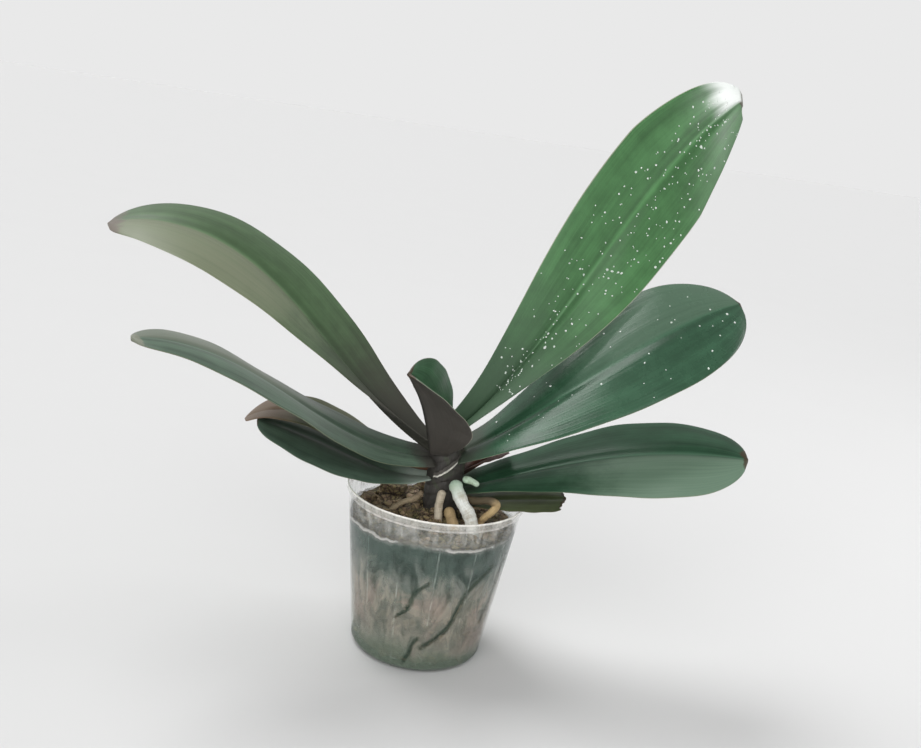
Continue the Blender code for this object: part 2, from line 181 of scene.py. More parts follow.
class Finish:
    """A material built round one Principled shader."""

    def __init__(self, name, roughness=0.5, coat=0.0, specular=0.5):
        self.material = bpy.data.materials.new(name)
        self.material.use_nodes = True
        self.tree = self.material.node_tree
        self.shader = self.tree.nodes["Principled BSDF"]
        self.set("Roughness", roughness)
        self.set("Coat Weight", coat)
        self.set("Specular IOR Level", specular)

    def set(self, name, value):
        plug(self.tree, value, self.shader.inputs[name])

    def node(self, kind, output=0, ins=None, **settings):
        """Any node: its settings, then its inputs by name or number."""
        node = self.tree.nodes.new(kind)
        for key, value in settings.items():
            setattr(node, key, value)
        for key, value in (ins or {}).items():
            plug(self.tree, value, node.inputs[key])
        return Wire(self.tree, node.outputs[output])

    def place(self, stretch=(1, 1, 1)):
        """Position on the object, with each axis stretched."""
        at = self.node("ShaderNodeTexCoord", "Object")
        return self.node("ShaderNodeMapping", 0, {"Vector": at, "Scale": stretch})

    def height(self):
        at = self.node("ShaderNodeTexCoord", "Object")
        return self.node("ShaderNodeSeparateXYZ", "Z", {"Vector": at})

    def along(self, axis, layer):
        at = self.node("ShaderNodeUVMap", uv_map=layer)
        return self.node("ShaderNodeSeparateXYZ", axis, {"Vector": at})

    def read(self, name):
        return self.node("ShaderNodeAttribute", "Fac", attribute_name=name)

    def noise(self, at, scale, detail=3.0, rough=0.55, twist=0.0):
        return self.node("ShaderNodeTexNoise", 0, {
            "Vector": at, "Scale": scale, "Detail": detail, "Roughness": rough, "Distortion": twist})

    def cells(self, at, scale, output="Distance", feature="F1"):
        return self.node("ShaderNodeTexVoronoi", output, {"Vector": at, "Scale": scale}, feature=feature)

    def mix(self, a, b, factor):
        """Colour a, turned into b by the factor."""
        return self.node("ShaderNodeMix", 2, {0: factor, 6: a, 7: b}, data_type="RGBA", clamp_factor=True)

    def bump(self, height, depth, strength=1.0):
        normal = self.node("ShaderNodeBump", 0, {"Height": height, "Distance": depth, "Strength": strength})
        self.set("Normal", normal)


def uv_vector(finish, layer, across, along):
    """UV position stretched by two factors, as a vector for a pattern that follows the blade."""
    u = finish.along("X", layer)
    v = finish.along("Y", layer)
    return finish.node("ShaderNodeCombineXYZ", 0, {0: u * across, 1: v * along})


def leaf_finish(name, upper, under, foot, gloss, glare=0.0, bronze=0.0, foot_to=0.16,
                rim=(0.20, 0.22, 0.14), midrib_highlight=0.5, shine=0.35, pale=None, sheen_half=-1, rim_from=0.965,
                tip=(0.06, 0.035, 0.02), tip_from=0.985, streak=0.0):
    """Waxy leaf: mottled green, faint parallel veins, sunk midrib, thin pale rim and a dark foot.

    u runs across the blade and v from base to tip. pale is the tone of a painted sheen on one half, the one
    below (sheen_half -1) or above (1) the midrib in u. glare is a painted highlight near the tip.
    """
    f = Finish(name, specular=shine)
    at = f.place()
    u = f.along("X", "blade")
    v = f.along("Y", "blade")
    side = abs(u * 2.0 - 1.0)
    below = f.read("underside")
    vein = f.noise(uv_vector(f, "blade", 46.0, 2.2), 1.0, 2.0, 0.5)
    broad = f.noise(uv_vector(f, "blade", 7.0, 1.8), 1.0, 3.0, 0.55)
    mottle = f.noise(at, 70.0, 5.0, 0.6)
    speck = f.noise(at, 900.0, 2.0, 0.5)
    scar = f.noise(uv_vector(f, "blade", 16.0, 9.0), 1.0, 5.0, 0.7, 1.2)
    light = tuple(min(1.0, c * 1.40 + 0.006) for c in upper)
    dark = tuple(c * 0.66 for c in upper)
    top = f.mix(dark, light, (mottle * 0.45 + vein * 0.30 + broad * 0.75 - 0.25).step(0.20, 0.85))
    # Paler line along the midrib: painted highlight.
    top = f.mix(top, tuple(c * 1.7 + 0.025 for c in upper), side.step(0.040, 0.0) * midrib_highlight)
    # Darker band either side of the midrib: painted shade in the groove.
    top = f.mix(top, dark, side.step(0.03, 0.07) * side.step(0.16, 0.07) * 0.45)
    # A paler half of the blade: painted sheen.
    if pale:
        half = u.step(0.515, 0.475) if sheen_half < 0 else u.step(0.49, 0.56)
        top = f.mix(top, pale, half * (v + (mottle - 0.5) * 0.2).step(0.30, 0.62) * (0.55 + vein * 0.5))
    low_light = tuple(min(1.0, c * 1.3) for c in under)
    low = f.mix(under, low_light, (mottle * 0.6 + vein * 0.5).step(0.3, 0.8))
    low = f.mix(low, tuple(c * 0.5 for c in under), side.step(0.06, 0.01) * 0.7)
    low = f.mix(low, (0.13, 0.065, 0.040), (broad * 0.9 + side * 0.25 + v * 0.15).step(0.50, 1.0) * bronze)
    body = f.mix(top, low, below)
    body = f.mix(body, rim, side.step(rim_from, 0.995) * 0.7)
    body = f.mix(body, (0.15, 0.17, 0.09), scar.step(0.68, 0.76) * 0.35)
    rust = (broad + vein * 0.3).step(0.52, 0.72) * v.step(0.45, 0.20)
    body = f.mix(body, (0.27, 0.15, 0.10), rust * streak)
    body = f.mix(body, tip, (v + (mottle - 0.5) * 0.10).step(tip_from, 0.5 + tip_from / 2) * 0.85)
    foot_mask = (v + (mottle - 0.5) * 0.08).step(foot_to, foot_to * 0.25)
    body = f.mix(body, foot, foot_mask * 0.92)
    # Near-white patch near the tip: painted highlight.
    painted_tip_glare = (v + (broad - 0.5) * 0.08).step(0.855, 0.935) * u.step(0.54, 0.44)
    painted_tip_glare = painted_tip_glare * v.step(0.992, 0.978) * glare * (1.0 - below)
    body = f.mix(body, (0.92, 0.96, 0.93), painted_tip_glare * mottle.step(0.10, 0.42))
    f.set("Base Color", body)
    f.set("Roughness", gloss + (mottle - 0.5) * 0.14 + below * 0.16 + foot_mask * 0.25)
    f.bump(vein * 0.6 + speck * 0.10 + mottle * 0.3, 0.40 * MM, 0.6)
    return f.material


def bark_finish(name, dark, pale, moss=0.35):
    """Bark: a tone for each chip, layered grain, cracks, green film and dry moss on its surface."""
    f = Finish(name, roughness=0.85)
    at = f.place()
    grain = f.noise(f.place((1, 1, 3.5)), 160.0, 6.0, 0.7, 0.6)
    patch = f.noise(at, 55.0, 4.0, 0.6)
    crack = f.cells(at, 210.0, "Distance", "DISTANCE_TO_EDGE").step(0.10, 0.0)
    tone = f.read("tone")
    base = f.mix(dark, pale, (tone * 0.85 + grain * 0.55 - 0.25).step(0.05, 1.0))
    base = f.mix(base, (0.40, 0.31, 0.235), (patch + tone * 0.3).step(0.72, 0.95) * 0.6)
    fluff = f.noise(at, 300.0, 5.0, 0.7, 1.5)
    above = (f.height() * 1000.0).step(90.0, 96.0)
    base = f.mix(base, (0.30, 0.25, 0.11), fluff.step(0.47, 0.60) * above * 0.75)
    base = f.mix(base, (0.055, 0.085, 0.035), patch.step(0.54, 0.66) * moss)
    base = f.mix(base, (0.012, 0.008, 0.006), crack * 0.6)
    f.set("Base Color", base)
    f.set("Roughness", 0.70 + grain * 0.25)
    f.bump(grain + patch * 0.5 - crack * 0.6, 1.1 * MM, 0.9)
    return f.material


def root_finish(name, skin, stain, green=0.0, wet=False, shaded=0.0):
    """Root skin: corky fibres along the root and stains.

    green tints its upper end, and shaded darkens that end where it lies under the leaves.
    """
    f = Finish(name, roughness=0.6, specular=0.1 if wet else 0.4)
    at = f.place()
    fibre = f.noise(uv_vector(f, "skin", 26.0, 5.0), 1.0, 4.0, 0.65)
    ring = f.noise(uv_vector(f, "skin", 1.5, 34.0), 1.0, 3.0, 0.6)
    patch = f.noise(at, 120.0, 5.0, 0.62)
    base = f.mix(skin, tuple(min(1.0, c * 1.25 + 0.02) for c in skin), fibre.step(0.35, 0.7))
    base = f.mix(base, stain, (patch * 0.75 + ring * 0.35).step(0.50, 0.78) * 0.85)
    base = f.mix(base, (0.36, 0.50, 0.37), f.along("Y", "skin").step(0.35, 0.0) * green)
    upper = (f.along("Y", "skin") + (patch - 0.5) * 0.2).step(0.52, 0.38)
    base = f.mix(base, (0.035, 0.028, 0.018), upper * shaded)
    f.set("Base Color", base)
    f.set("Roughness", 0.50 + patch * 0.3)
    f.bump(fibre * 0.6 + patch * 0.6 + ring * 0.3, 0.6 * MM, 0.8)
    return f.material


def stem_finish(name, dark):
    """Overlapping old leaf bases: dark brown, torn into upright fibres, with pale papery shreds."""
    f = Finish(name, roughness=0.6, coat=0.05)
    fibre = f.noise(f.place((1, 1, 0.12)), 900.0, 4.0, 0.6)
    patch = f.noise(f.place(), 90.0, 5.0, 0.6, 0.5)
    band = f.noise(f.place((0.25, 0.25, 1.6)), 110.0, 3.0, 0.6)
    deep = tuple(c * 0.6 for c in dark)
    light = tuple(c * 1.4 for c in dark)
    base = f.mix(deep, light, (fibre * 0.5 + patch * 0.5).step(0.35, 0.75))
    base = f.mix(base, (0.045, 0.060, 0.030), patch.step(0.50, 0.68) * 0.7)
    base = f.mix(base, (0.30, 0.24, 0.17), (band * 0.6 + fibre * 0.45).step(0.66, 0.80) * 0.45)
    f.set("Base Color", base)
    f.set("Roughness", 0.42 + patch * 0.4)
    f.bump(fibre * 0.5 + band * 0.8, 0.9 * MM, 0.8)
    return f.material


def sheath_finish(name, tint, dark):
    """Old sheath skin: dark like the stem, dry and papery along its torn lip."""
    f = Finish(name, roughness=0.7)
    fibre = f.noise(f.place((1, 1, 0.15)), 1100.0, 3.0, 0.6)
    stain = f.noise(f.place(), 240.0, 4.0, 0.6)
    paper = f.mix(tuple(c * 0.55 for c in tint), tint, (fibre * 0.5 + stain * 0.6).step(0.35, 0.70))
    skin = f.mix(dark, tuple(c * 2.0 for c in dark), (fibre * 0.5 + stain * 0.5).step(0.35, 0.75))
    lip = (f.along("Y", "blade") + (stain - 0.5) * 0.30).step(0.42, 0.24)
    f.set("Base Color", f.mix(skin, paper, lip))
    f.bump(fibre, 0.4 * MM, 0.8)
    return f.material


def pot_finish(name, plastic, mist):
    """Clear plastic: misted inside over the damp bark, dry and clear near the rim, lime where water stood.

    The mist stays off the wall where a root lies against it. Heights are in millimetres.
    """
    f = Finish(name, coat=0.5)
    z = f.height() * 1000.0
    cloud = f.noise(f.place((1, 1, 0.7)), 38.0, 5.0, 0.60, 0.6)
    smear = f.noise(f.place((1, 1, 0.30)), 90.0, 5.0, 0.65, 0.5)
    bead = f.cells(f.place(), 520.0).step(0.34, 0.10)
    run = f.noise(f.place((1, 1, 0.05)), 150.0, 2.0, 0.5)
    streak = f.noise(f.place((1, 1, 0.34)), 115.0, 5.0, 0.62, 1.6)
    touch = f.read("touch")
    edge = z + (cloud - 0.5) * 14.0 + (smear - 0.5) * 5.0
    blot = f.noise(f.place((1, 1, 0.45)), 85.0, 4.0, 0.55, 1.2)
    misted = (z + (cloud - 0.5) * 60.0 + (blot - 0.5) * 50.0).step(34.0, 80.0) * edge.step(95.0, 90.0)
    rim = z.step(107.6, 108.6)
    lip = z.step(111.6, 112.6)
    at = f.node("ShaderNodeTexCoord", "Object")
    turn = f.node("ShaderNodeSeparateXYZ", "Y", {"Vector": at}).maths(
        "ARCTAN2", f.node("ShaderNodeSeparateXYZ", "X", {"Vector": at}))
    ribs = (turn * RIBS + RIB_TURN).maths("COSINE").step(0.985, 0.999) * streak.step(0.42, 0.62)
    lime = edge.step(92.6, 93.8) * edge.step(95.6, 94.2) * cloud.step(0.40, 0.56)
    wash = z.step(94.0, 101.0) * streak.step(0.40, 0.66)
    seam = z.step(106.2, 106.9) * z.step(108.3, 107.5)
    warm = (z + (cloud - 0.5) * 36.0).step(6.0, 26.0) * (z + (blot - 0.5) * 44.0).step(80.0, 46.0)
    foot = (z + (cloud - 0.5) * 5.0).step(5.0, 2.0)
    low = (z + (cloud - 0.5) * 34.0).step(30.0, 10.0)
    tint = f.mix(plastic, mist, misted)
    tint = f.mix(tint, (0.030, 0.060, 0.045), misted * blot.step(0.52, 0.66) * 0.85)
    tint = f.mix(tint, (0.17, 0.25, 0.16), low * 0.8)
    damp = f.mix((0.120, 0.150, 0.105), (0.42, 0.37, 0.285), streak.step(0.34, 0.62))
    damp = f.mix(damp, (0.40, 0.275, 0.225), cloud.step(0.52, 0.66) * 0.6)
    tint = f.mix(tint, damp, warm * 0.80)
    tint = f.mix(tint, (0.030, 0.072, 0.040), touch * 0.78)
    tint = f.mix(tint, (0.50, 0.54, 0.50), ribs * 0.45)
    tint = f.mix(tint, (0.82, 0.78, 0.74), lime * 0.75 + wash * 0.5 + seam * 0.6)
    # Near-white rim and lip, also hazier below: painted highlight along the rim.
    tint = f.mix(tint, (0.92, 0.90, 0.84), rim * 0.6 + lip * 0.4)
    # Dark, hazy band at the foot: painted shade round the base.
    tint = f.mix(tint, (0.045, 0.055, 0.050), foot * 0.7)
    f.set("Base Color", tint)
    haze = 0.10 + misted * (0.32 + 0.40 * cloud) + low * 0.18 + warm * (0.14 + streak * 0.34) + foot * 0.55
    haze = haze * (touch * -0.40 + 1.0) + lime * 0.40 + wash * 0.24 + seam * 0.34 + rim * 0.14 + lip * 0.55
    haze = haze + bead * 0.04 + run.step(0.62, 0.70) * 0.07 + ribs * 0.06
    f.set("Alpha", haze.maths("MINIMUM", 0.93))
    f.set("Roughness", 0.10 + misted * 0.14 + cloud * 0.08)
    f.bump(bead * 0.3 + smear * 0.4 + cloud * 0.4, 0.35 * MM, 0.5)
    return f.material


def drop_finish(name):
    """Standing water drops, bright where they gather the light."""
    f = Finish(name, roughness=0.04, coat=1.0, specular=0.9)
    gleam = f.noise(f.place(), 320.0, 2.0).step(0.4, 0.6)
    f.set("Base Color", f.mix((0.75, 0.86, 0.76), (0.95, 0.98, 0.95), gleam))
    f.set("Alpha", 0.88)
    return f.material


# ---------------------------------------------------------------- shapes

def placed(bm, name):
    """Turns a bmesh into an object in the scene."""
    mesh = bpy.data.meshes.new(name)
    bm.to_mesh(mesh)
    bm.free()
    ob = bpy.data.objects.new(name, mesh)
    bpy.context.scene.collection.objects.link(ob)
    return ob


def piece(bm, name, material, smooth=True):
    """Turns a bmesh into a finished piece that rides on the plant's one body."""
    if smooth:
        for face in bm.faces:
            face.smooth = True
    ob = placed(bm, name)
    ob.data.materials.append(material)
    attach(ob, "root")
    return ob


def stand_for(ob, *nodes):
    """ob is shown in place of these CAD nodes, which are hidden; ob itself is not used."""
    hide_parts(*nodes)


def grid(bm, columns, rows, layer):
    """A flat grid over (0..1, 0..1) with its UV map, as (vertex, u, v) for shaping."""
    bmesh.ops.create_grid(bm, x_segments=columns, y_segments=rows, size=0.5,
                          matrix=Matrix.Translation((0.5, 0.5, 0.0)))
    uv = bm.loops.layers.uv.new(layer)
    for face in bm.faces:
        for loop in face.loops:
            loop[uv].uv = loop.vert.co.xy
    return [(v, min(1.0, max(0.0, v.co.x)), min(1.0, max(0.0, v.co.y))) for v in bm.verts]


def path_through(points, count):
    """Even samples of a smooth curve through the points, with the direction at each."""
    p = np.array([2 * np.array(points[0]) - points[1], *points, 2 * np.array(points[-1]) - points[-2]])
    dense = []
    for a, b, c, d in zip(p, p[1:], p[2:], p[3:]):
        for t in np.linspace(0, 1, 24, endpoint=False):
            dense.append(0.5 * (2 * b + (c - a) * t + (2 * a - 5 * b + 4 * c - d) * t**2
                                + (3 * b - a - 3 * c + d) * t**3))
    dense = np.array([*dense, p[-2]])
    run = np.concatenate([[0], np.cumsum(np.linalg.norm(np.diff(dense, axis=0), axis=1))])
    even = np.linspace(0, run[-1], count)
    at = np.stack([np.interp(even, run, dense[:, i]) for i in range(3)], axis=1)
    way = np.gradient(at, axis=0)
    return at, way / np.linalg.norm(way, axis=1)[:, None]


def root(name, points, radius, tip, material, knots=0.08):
    """A root swept along its path: a grid rolled into a tube, with knots and rounded ends."""
    rows, sides = 70, 24
    at, way = path_through([np.array(p) * MM for p in points], rows + 1)
    frames = []
    side = Vector(way[0]).orthogonal().normalized()
    for t in way:
        t = Vector(t)
        side = (side - side.dot(t) * t).normalized()
        frames.append((side.copy(), t.cross(side)))
    run = np.linalg.norm(at[1] - at[0])
    bm = bmesh.new()
    for v, u, s in grid(bm, sides, rows, "skin"):
        k = round(s * rows)
        centre = Vector(at[k])
        side, up = frames[k]
        angle = math.tau * (round(u * sides) % sides) / sides
        out = side * math.cos(angle) + up * math.sin(angle)
        r = radius * MM * (1 + (tip - 1) * s)
        from_end = min(k, rows - k) * run
        r *= math.sqrt(max(0.02, 1 - max(0.0, 1 - from_end / r) ** 2))
        r *= 1 - knots * 0.8 + knots * 1.6 * noise.noise(centre / (5 * MM))
        skin = centre + out * r
        r *= 1 + 0.09 * noise.noise(skin / (2.4 * MM)) + 0.04 * noise.noise(skin / (0.9 * MM))
        v.co = centre + out * r
    bmesh.ops.remove_doubles(bm, verts=bm.verts[:], dist=1e-6)
    bmesh.ops.holes_fill(bm, edges=[e for e in bm.edges if e.is_boundary], sides=sides)
    bmesh.ops.recalc_face_normals(bm, faces=bm.faces[:])
    return piece(bm, name, material)


# ---------------------------------------------------------------- leaves

BARK_TOP = 95  # mm above the table, the level that the leaves and roots are measured from


class Blade:
    """A strap leaf: where its midrib runs, its width along the way, and how it folds and rolls.

    turn is the midrib's compass angle at base and tip, rise its slope at base, middle and tip, roll the
    tilt round the midrib and fold the lift of each half, at base and tip, in degrees. Sizes are in mm.
    """

    def __init__(self, base, turn, rise, long, width, roll, fold,
                 widest=0.65, base_width=0.35, blunt=2.0, thick=1.0, wave=0.0, torn=0.0, nose=0.0, seed=0):
        self.base = np.array([base[0], base[1], base[2] + BARK_TOP]) * MM
        self.turn = turn
        self.rise = rise
        self.long = long * MM
        self.width = width * MM
        self.roll = roll
        self.fold = fold
        self.widest = widest
        self.base_width = base_width
        self.blunt = blunt
        self.thick = thick
        self.wave = wave * MM
        self.torn = torn
        self.nose = nose
        self.seed = seed
        self.lay_midrib(240)

    def lay_midrib(self, steps):
        s = np.linspace(0, 1, steps + 1)
        turn = np.radians(self.turn[0] + (self.turn[1] - self.turn[0]) * s)
        low, mid, high = self.rise
        rise = low * (2 * s - 1) * (s - 1) + mid * 4 * s * (1 - s) + high * s * (2 * s - 1)
        rise = np.radians(rise - self.nose * np.clip((s - 0.975) / 0.025, 0, 1) * 70)
        along = np.stack([np.cos(rise) * np.cos(turn), np.cos(rise) * np.sin(turn), np.sin(rise)], axis=1)
        step = self.long / steps
        run = np.cumsum((along[1:] + along[:-1]) / 2 * step, axis=0)
        self.s = s
        self.rib = self.base + np.vstack([np.zeros(3), run])
        flat = np.stack([np.sin(turn), -np.cos(turn), 0 * turn], axis=1)
        over = np.cross(flat, along)
        ease = np.clip(s / 0.6, 0, 1)
        ease = ease * ease * (3 - 2 * ease)
        roll = np.radians(self.roll[0] + (self.roll[1] - self.roll[0]) * ease)[:, None]
        self.across = np.cos(roll) * flat - np.sin(roll) * over
        self.normal = np.sin(roll) * flat + np.cos(roll) * over

    def half_width(self, s):
        if s < self.widest:
            grow = math.sin(math.pi / 2 * s / self.widest) ** 1.3
            share = self.base_width + (1 - self.base_width) * grow
        else:
            past = (s - self.widest) / (1 - self.widest)
            share = math.sqrt(max(0.0, 1 - past**self.blunt))
        return 0.5 * self.width * max(share, 0.045)

    def point(self, s, across, face, settings):
        """Place on the blade: s from base to tip, across from -1 to 1, face 1 above and -1 below."""
        k = s * (len(self.s) - 1)
        i = min(int(k), len(self.s) - 2)
        k -= i
        rib = self.rib[i] * (1 - k) + self.rib[i + 1] * k
        wide = self.across[i] * (1 - k) + self.across[i + 1] * k
        normal = self.normal[i] * (1 - k) + self.normal[i + 1] * k
        fold = math.radians(self.fold[1] + (self.fold[0] - self.fold[1]) * (1 - s) ** 3)
        cup = math.radians(12)
        r = abs(across)
        sign = 1 if across > 0 else -1
        half = self.half_width(s)
        if r < 1e-6:
            x, y = 0.0, 0.0
        else:
            x = half * (math.sin(fold) - math.sin(fold - cup * r)) / cup
            y = half * (math.cos(fold - cup * r) - math.cos(fold)) / cup
        dip = settings.groove * self.thick * math.exp(-(r / 0.13) ** 2) * min(1.0, 6 * (1 - s))
        if face < 0:
            dip *= 1.15
        lift = self.wave * r * r * math.sin(9.5 * s + self.seed + sign) * math.sin(math.pi * s)
        lift += 0.25 * MM * math.sin(self.seed + 31 * s) * r
        body = settings.margin + (settings.thickness - settings.margin) * (1 - r**1.5)
        edge = math.sqrt(max(0.0, 1 - max(0.0, (r - 0.965) / 0.035) ** 2))
        out = math.cos(fold - cup * r) * normal - sign * math.sin(fold - cup * r) * wide * min(1.0, r * 12)
        place = rib + sign * wide * x + normal * (y - dip + lift)
        return place + out * (face * self.thick * body * edge / 2), out

    def build(self, name, material, settings, rows=110, columns=44):
        bm = bmesh.new()
        under = bm.verts.layers.float.new("underside")
        shaped = grid(bm, columns, rows, "blade")
        spread = {}
        for v, u, s in shaped:
            a = 2 * u - 1
            across = math.copysign(1 - (1 - abs(a)) ** 1.25, a) if a else 0.0
            if self.torn:
                ragged = noise.noise(Vector((across * 3.2, self.seed, 0)))
                s *= 1 - self.torn * (0.5 + 0.5 * ragged + 0.35 * abs(across))
            spread[v] = (across, s)
        lower = bmesh.ops.extrude_face_region(bm, geom=bm.faces[:])["geom"]
        lower = [v for v in lower if isinstance(v, bmesh.types.BMVert)]
        pairs = {tuple(round(c, 5) for c in v.co): v for v in lower}
        for v, (across, s) in spread.items():
            twin = pairs[tuple(round(c, 5) for c in v.co)]
            v.co = self.point(s, across, 1, settings)[0]
            twin.co = self.point(s, across, -1, settings)[0]
            twin[under] = 1.0
        bmesh.ops.recalc_face_normals(bm, faces=bm.faces[:])
        return piece(bm, name, material)


def orchid_blades():
    """The plant's leaves by node name."""
    return {
        "leaf_right_top": Blade((7, 2, 59), (12, 54), (47.5, 56.3, 19), 329, 80, (34, 71), (49, 7),
                                0.685, 0.26, 1.2, wave=1.0, nose=1.0, seed=1),
        "leaf_right_middle": Blade((14, 2, 46), (-17, 40), (36, 39, 6), 222, 81, (20, 34), (11, -1),
                                   0.63, 0.45, 2.2, wave=0.8, seed=2),
        "leaf_right_low": Blade((16, 0, 21), (0, -11), (23, 19, -1), 190, 84, (10, 18), (19, 0),
                                0.71, 0.35, 2.4, wave=0.8, seed=3),
        "leaf_left_top": Blade((-6.5, -2, 45), (164, 188), (21, 40, -24), 272, 92, (-3, -14), (58, 4),
                               0.71, 0.20, 1.8, wave=1.0, seed=4),
        "leaf_left_middle": Blade((-6.5, -2, 40.8), (201, 222), (0, 32, -2), 218, 69, (-18, -7), (8, 2),
                                  0.68, 0.34, 1.2, wave=0.8, seed=5),
        "leaf_left_back": Blade((-6.5, -1, 32.5), (184, 181), (-3, 22, -42), 132, 48, (0, -5), (33, 11),
                                0.60, 0.29, wave=0.6, seed=6),
        "leaf_left_low": Blade((-6.8, -1, 25.5), (192, 185), (-3, 20.5, 3), 120, 71, (-16, -3), (33, -1),
                               0.60, 0.33, 1.9, wave=0.6, seed=7),
        "leaf_centre": Blade((-6, -9, 45), (253, 227), (55, 60, 35), 74, 70, (-56, -42), (66, 43),
                             0.5, 0.3, 1.3, seed=8),
        "leaf_right_torn": Blade((17, -4, 13), (-3, -7), (12, 12, 8), 73, 34, (4, 8), (16, 4),
                                 0.5, 0.55, 6.0, thick=0.8, torn=0.09, wave=0.4, seed=9),
        "old_leaf_stub": Blade((16, 7, 29), (20, 26), (34, 30, 12), 40, 24, (0, 10), (44, 30),
                               0.5, 0.6, 4.0, thick=0.7, torn=0.25, wave=0.5, seed=10),
    }


def leaf_finishes(s):
    """One finish for each leaf: age, light and wear differ from leaf to leaf."""
    return {
        "leaf_right_top": leaf_finish("leaf_fresh", s.fresh, s.under, (0.050, 0.098, 0.054), 0.36, glare=1.0,
                                      foot_to=0.42, rim=(0.46, 0.45, 0.36), rim_from=0.95, tip_from=0.97),
        # Paler half: painted sheen.
        "leaf_right_middle": leaf_finish("leaf_glossy", s.deep, s.under, (0.050, 0.065, 0.045), 0.27,
                                         foot_to=0.12, pale=(0.095, 0.165, 0.110)),
        # Paler half: painted sheen.
        "leaf_right_low": leaf_finish("leaf_dark", tuple(c * 0.85 for c in s.deep), s.under,
                                      (0.030, 0.050, 0.030), 0.33, foot_to=0.10, midrib_highlight=0.9, shine=0.15,
                                      pale=(0.165, 0.250, 0.180), sheen_half=1),
        # Paler half: painted sheen.
        "leaf_left_top": leaf_finish("leaf_arched", (0.068, 0.124, 0.056), (0.085, 0.125, 0.060), s.sheath,
                                     0.42, bronze=0.35, foot_to=0.50, shine=0.25, pale=(0.205, 0.225, 0.150),
                                     tip=(0.150, 0.120, 0.105), tip_from=0.95),
        # Paler half: painted sheen.
        "leaf_left_middle": leaf_finish("leaf_narrow", (0.080, 0.125, 0.088), (0.070, 0.100, 0.062),
                                        s.sheath, 0.42, bronze=0.2, foot_to=0.09, shine=0.25,
                                        pale=(0.165, 0.185, 0.145), sheen_half=1, tip=(0.20, 0.21, 0.16)),
        "leaf_left_back": leaf_finish("leaf_olive", (0.11, 0.125, 0.065), (0.16, 0.13, 0.085),
                                      (0.13, 0.06, 0.035), 0.46, bronze=0.9, foot_to=0.12, streak=0.9,
                                      tip=(0.24, 0.16, 0.11), tip_from=0.66),
        # Pale foot tone of this leaf: painted sheen near its base.
        "leaf_left_low": leaf_finish("leaf_shade", (0.090, 0.145, 0.105), s.under, (0.30, 0.36, 0.31), 0.52,
                                     foot_to=0.24, midrib_highlight=0.1, shine=0.15),
        "leaf_centre": leaf_finish("leaf_young", (0.040, 0.105, 0.050), s.sheath, s.sheath, 0.42,
                                   foot_to=0.08, rim=(0.24, 0.23, 0.18)),
        "leaf_right_torn": leaf_finish("leaf_torn", (0.085, 0.105, 0.050), (0.085, 0.085, 0.040),
                                       (0.06, 0.06, 0.03), 0.45, foot_to=0.10, rim=(0.10, 0.06, 0.03)),
        "old_leaf_stub": leaf_finish("leaf_husk", (0.085, 0.028, 0.016), (0.060, 0.022, 0.014),
                                     (0.030, 0.014, 0.010), 0.40, foot_to=0.3, rim=(0.20, 0.11, 0.06)),
    }


def water_drops(blade, settings, count, seed):
    """Small drops standing on a blade's upper face, a few of them run together."""
    rng = np.random.default_rng(seed)
    bm = bmesh.new()
    for _ in range(count):
        s = rng.uniform(0.12, 0.93)
        across = float(np.clip(rng.normal(0.12, 0.45), -0.9, 0.9))
        at, out = blade.point(s, across, 1, settings)
        size = rng.choice([0.40, 0.6, 0.8, 1.1], p=[0.4, 0.35, 0.2, 0.05]) * MM
        up = Vector(out).normalized()
        turn = up.to_track_quat("Z", "Y").to_matrix().to_4x4()
        shape = Matrix.Diagonal((size, size * rng.uniform(0.8, 1.5), size * 0.55, 1.0))
        spin = Matrix.Rotation(rng.uniform(0, math.tau), 4, "Z")
        bmesh.ops.create_icosphere(bm, subdivisions=1, radius=1.0,
                                   matrix=Matrix.Translation(at) @ turn @ spin @ shape)
    return bm


# ---------------------------------------------------------------- pot, bark and stem

def wall_radius(pot, z):
    """Outer radius of the tapered wall at a height."""
    taper = pot.top_radius - pot.rim_out - pot.base_radius
    return pot.base_radius + taper * z / (pot.height - pot.rim_height)


def rounded(centre, radius, start, end, count):
    """Points of an arc from start to end, in degrees."""
    angles = [math.radians(start + (end - start) * i / count) for i in range(count + 1)]
    return [(centre[0] + radius * math.cos(a), centre[1] + radius * math.sin(a)) for a in angles]


def turned(outline, steps):
    """Spins an outline of (radius, height) points round the upright axis."""
    bm = bmesh.new()
    verts = [bm.verts.new((r, 0, z)) for r, z in outline]
    edges = [bm.edges.new(pair) for pair in zip(verts, verts[1:])]
    bmesh.ops.spin(bm, geom=verts + edges, cent=(0, 0, 0), axis=(0, 0, 1), angle=math.tau, steps=steps,
                   use_merge=True)
    bmesh.ops.remove_doubles(bm, verts=bm.verts[:], dist=1e-6)
    bmesh.ops.recalc_face_normals(bm, faces=bm.faces[:])
    return bm


